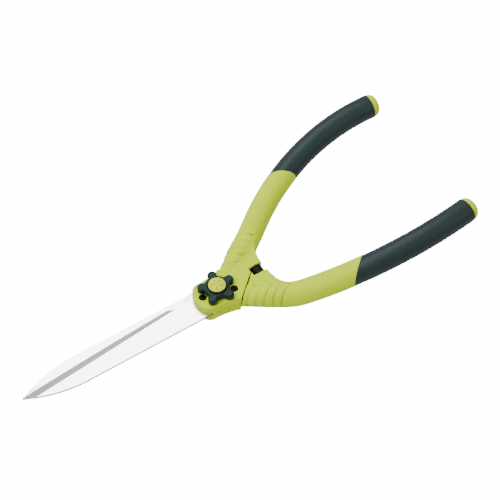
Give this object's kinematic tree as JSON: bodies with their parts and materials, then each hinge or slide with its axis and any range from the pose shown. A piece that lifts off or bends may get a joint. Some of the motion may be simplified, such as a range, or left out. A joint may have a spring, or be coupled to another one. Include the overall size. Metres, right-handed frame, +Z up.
{
  "type": "hedge and topiary shears",
  "caption": "Two-handed garden shears with long straight blades, cranked lime handles with dark soft grips and a lobed tension knob at the pivot.",
  "frame": {"origin": "on the pivot axis, at the flat underside of the rear hub", "axes": "+Z up the pivot bolt to the tension knob, -X along the closed blades to their tips, +X towards the grips, +Y on the front (upper) handle's side"},
  "size_m": [0.4967, 0.204, 0.0885],
  "materials": {
    "lime_moulding": "smooth moulded satin gloss",
    "soft_grip": "soft matt thermoplastic rubber",
    "blade_steel": "polished flat with a ground bevel",
    "tube_steel": "drawn tube",
    "black_screw": "black oxide",
    "bolt_steel": "zinc plated",
    "bush_brass": "turned",
    "knob_green": "fine satin",
    "badge_lime": "smooth with a raised emblem",
    "bumper_rubber": "black, grooved"
  },
  "bodies": {
    "rear_half": {"rear_blade": "blade_steel", "rear_handle": "lime_moulding", "rear_core_tube": "tube_steel", "rear_grip": "soft_grip", "rear_end_cap": "lime_moulding", "rear_blade_screws": "black_screw", "pivot_bolt": "bolt_steel", "bumper": "bumper_rubber", "bumper_stud": "bolt_steel"},
    "front_half": {"front_blade": "blade_steel", "front_handle": "lime_moulding", "front_core_tube": "tube_steel", "front_grip": "soft_grip", "front_end_cap": "lime_moulding", "front_blade_screws": "black_screw", "pivot_bush": "bush_brass", "plain_washer": "bolt_steel", "spring_washer": "bolt_steel"},
    "knob": {"tension_knob": "knob_green", "knob_nut": "bolt_steel", "knob_badge": "badge_lime"}
  },
  "joints": [
    {"name": "blade_opening", "type": "hinge", "parent": "rear_half", "child": "front_half", "pos_m": [0, 0, 0.0115], "axis": [0, 0, 1], "range_deg": [0, 50]},
    {"name": "knob_turn", "type": "hinge", "parent": "rear_half", "child": "knob", "pos_m": [0, 0, 0.027], "axis": [0, 0, 1], "range_deg": [-120, 120]}
  ]
}
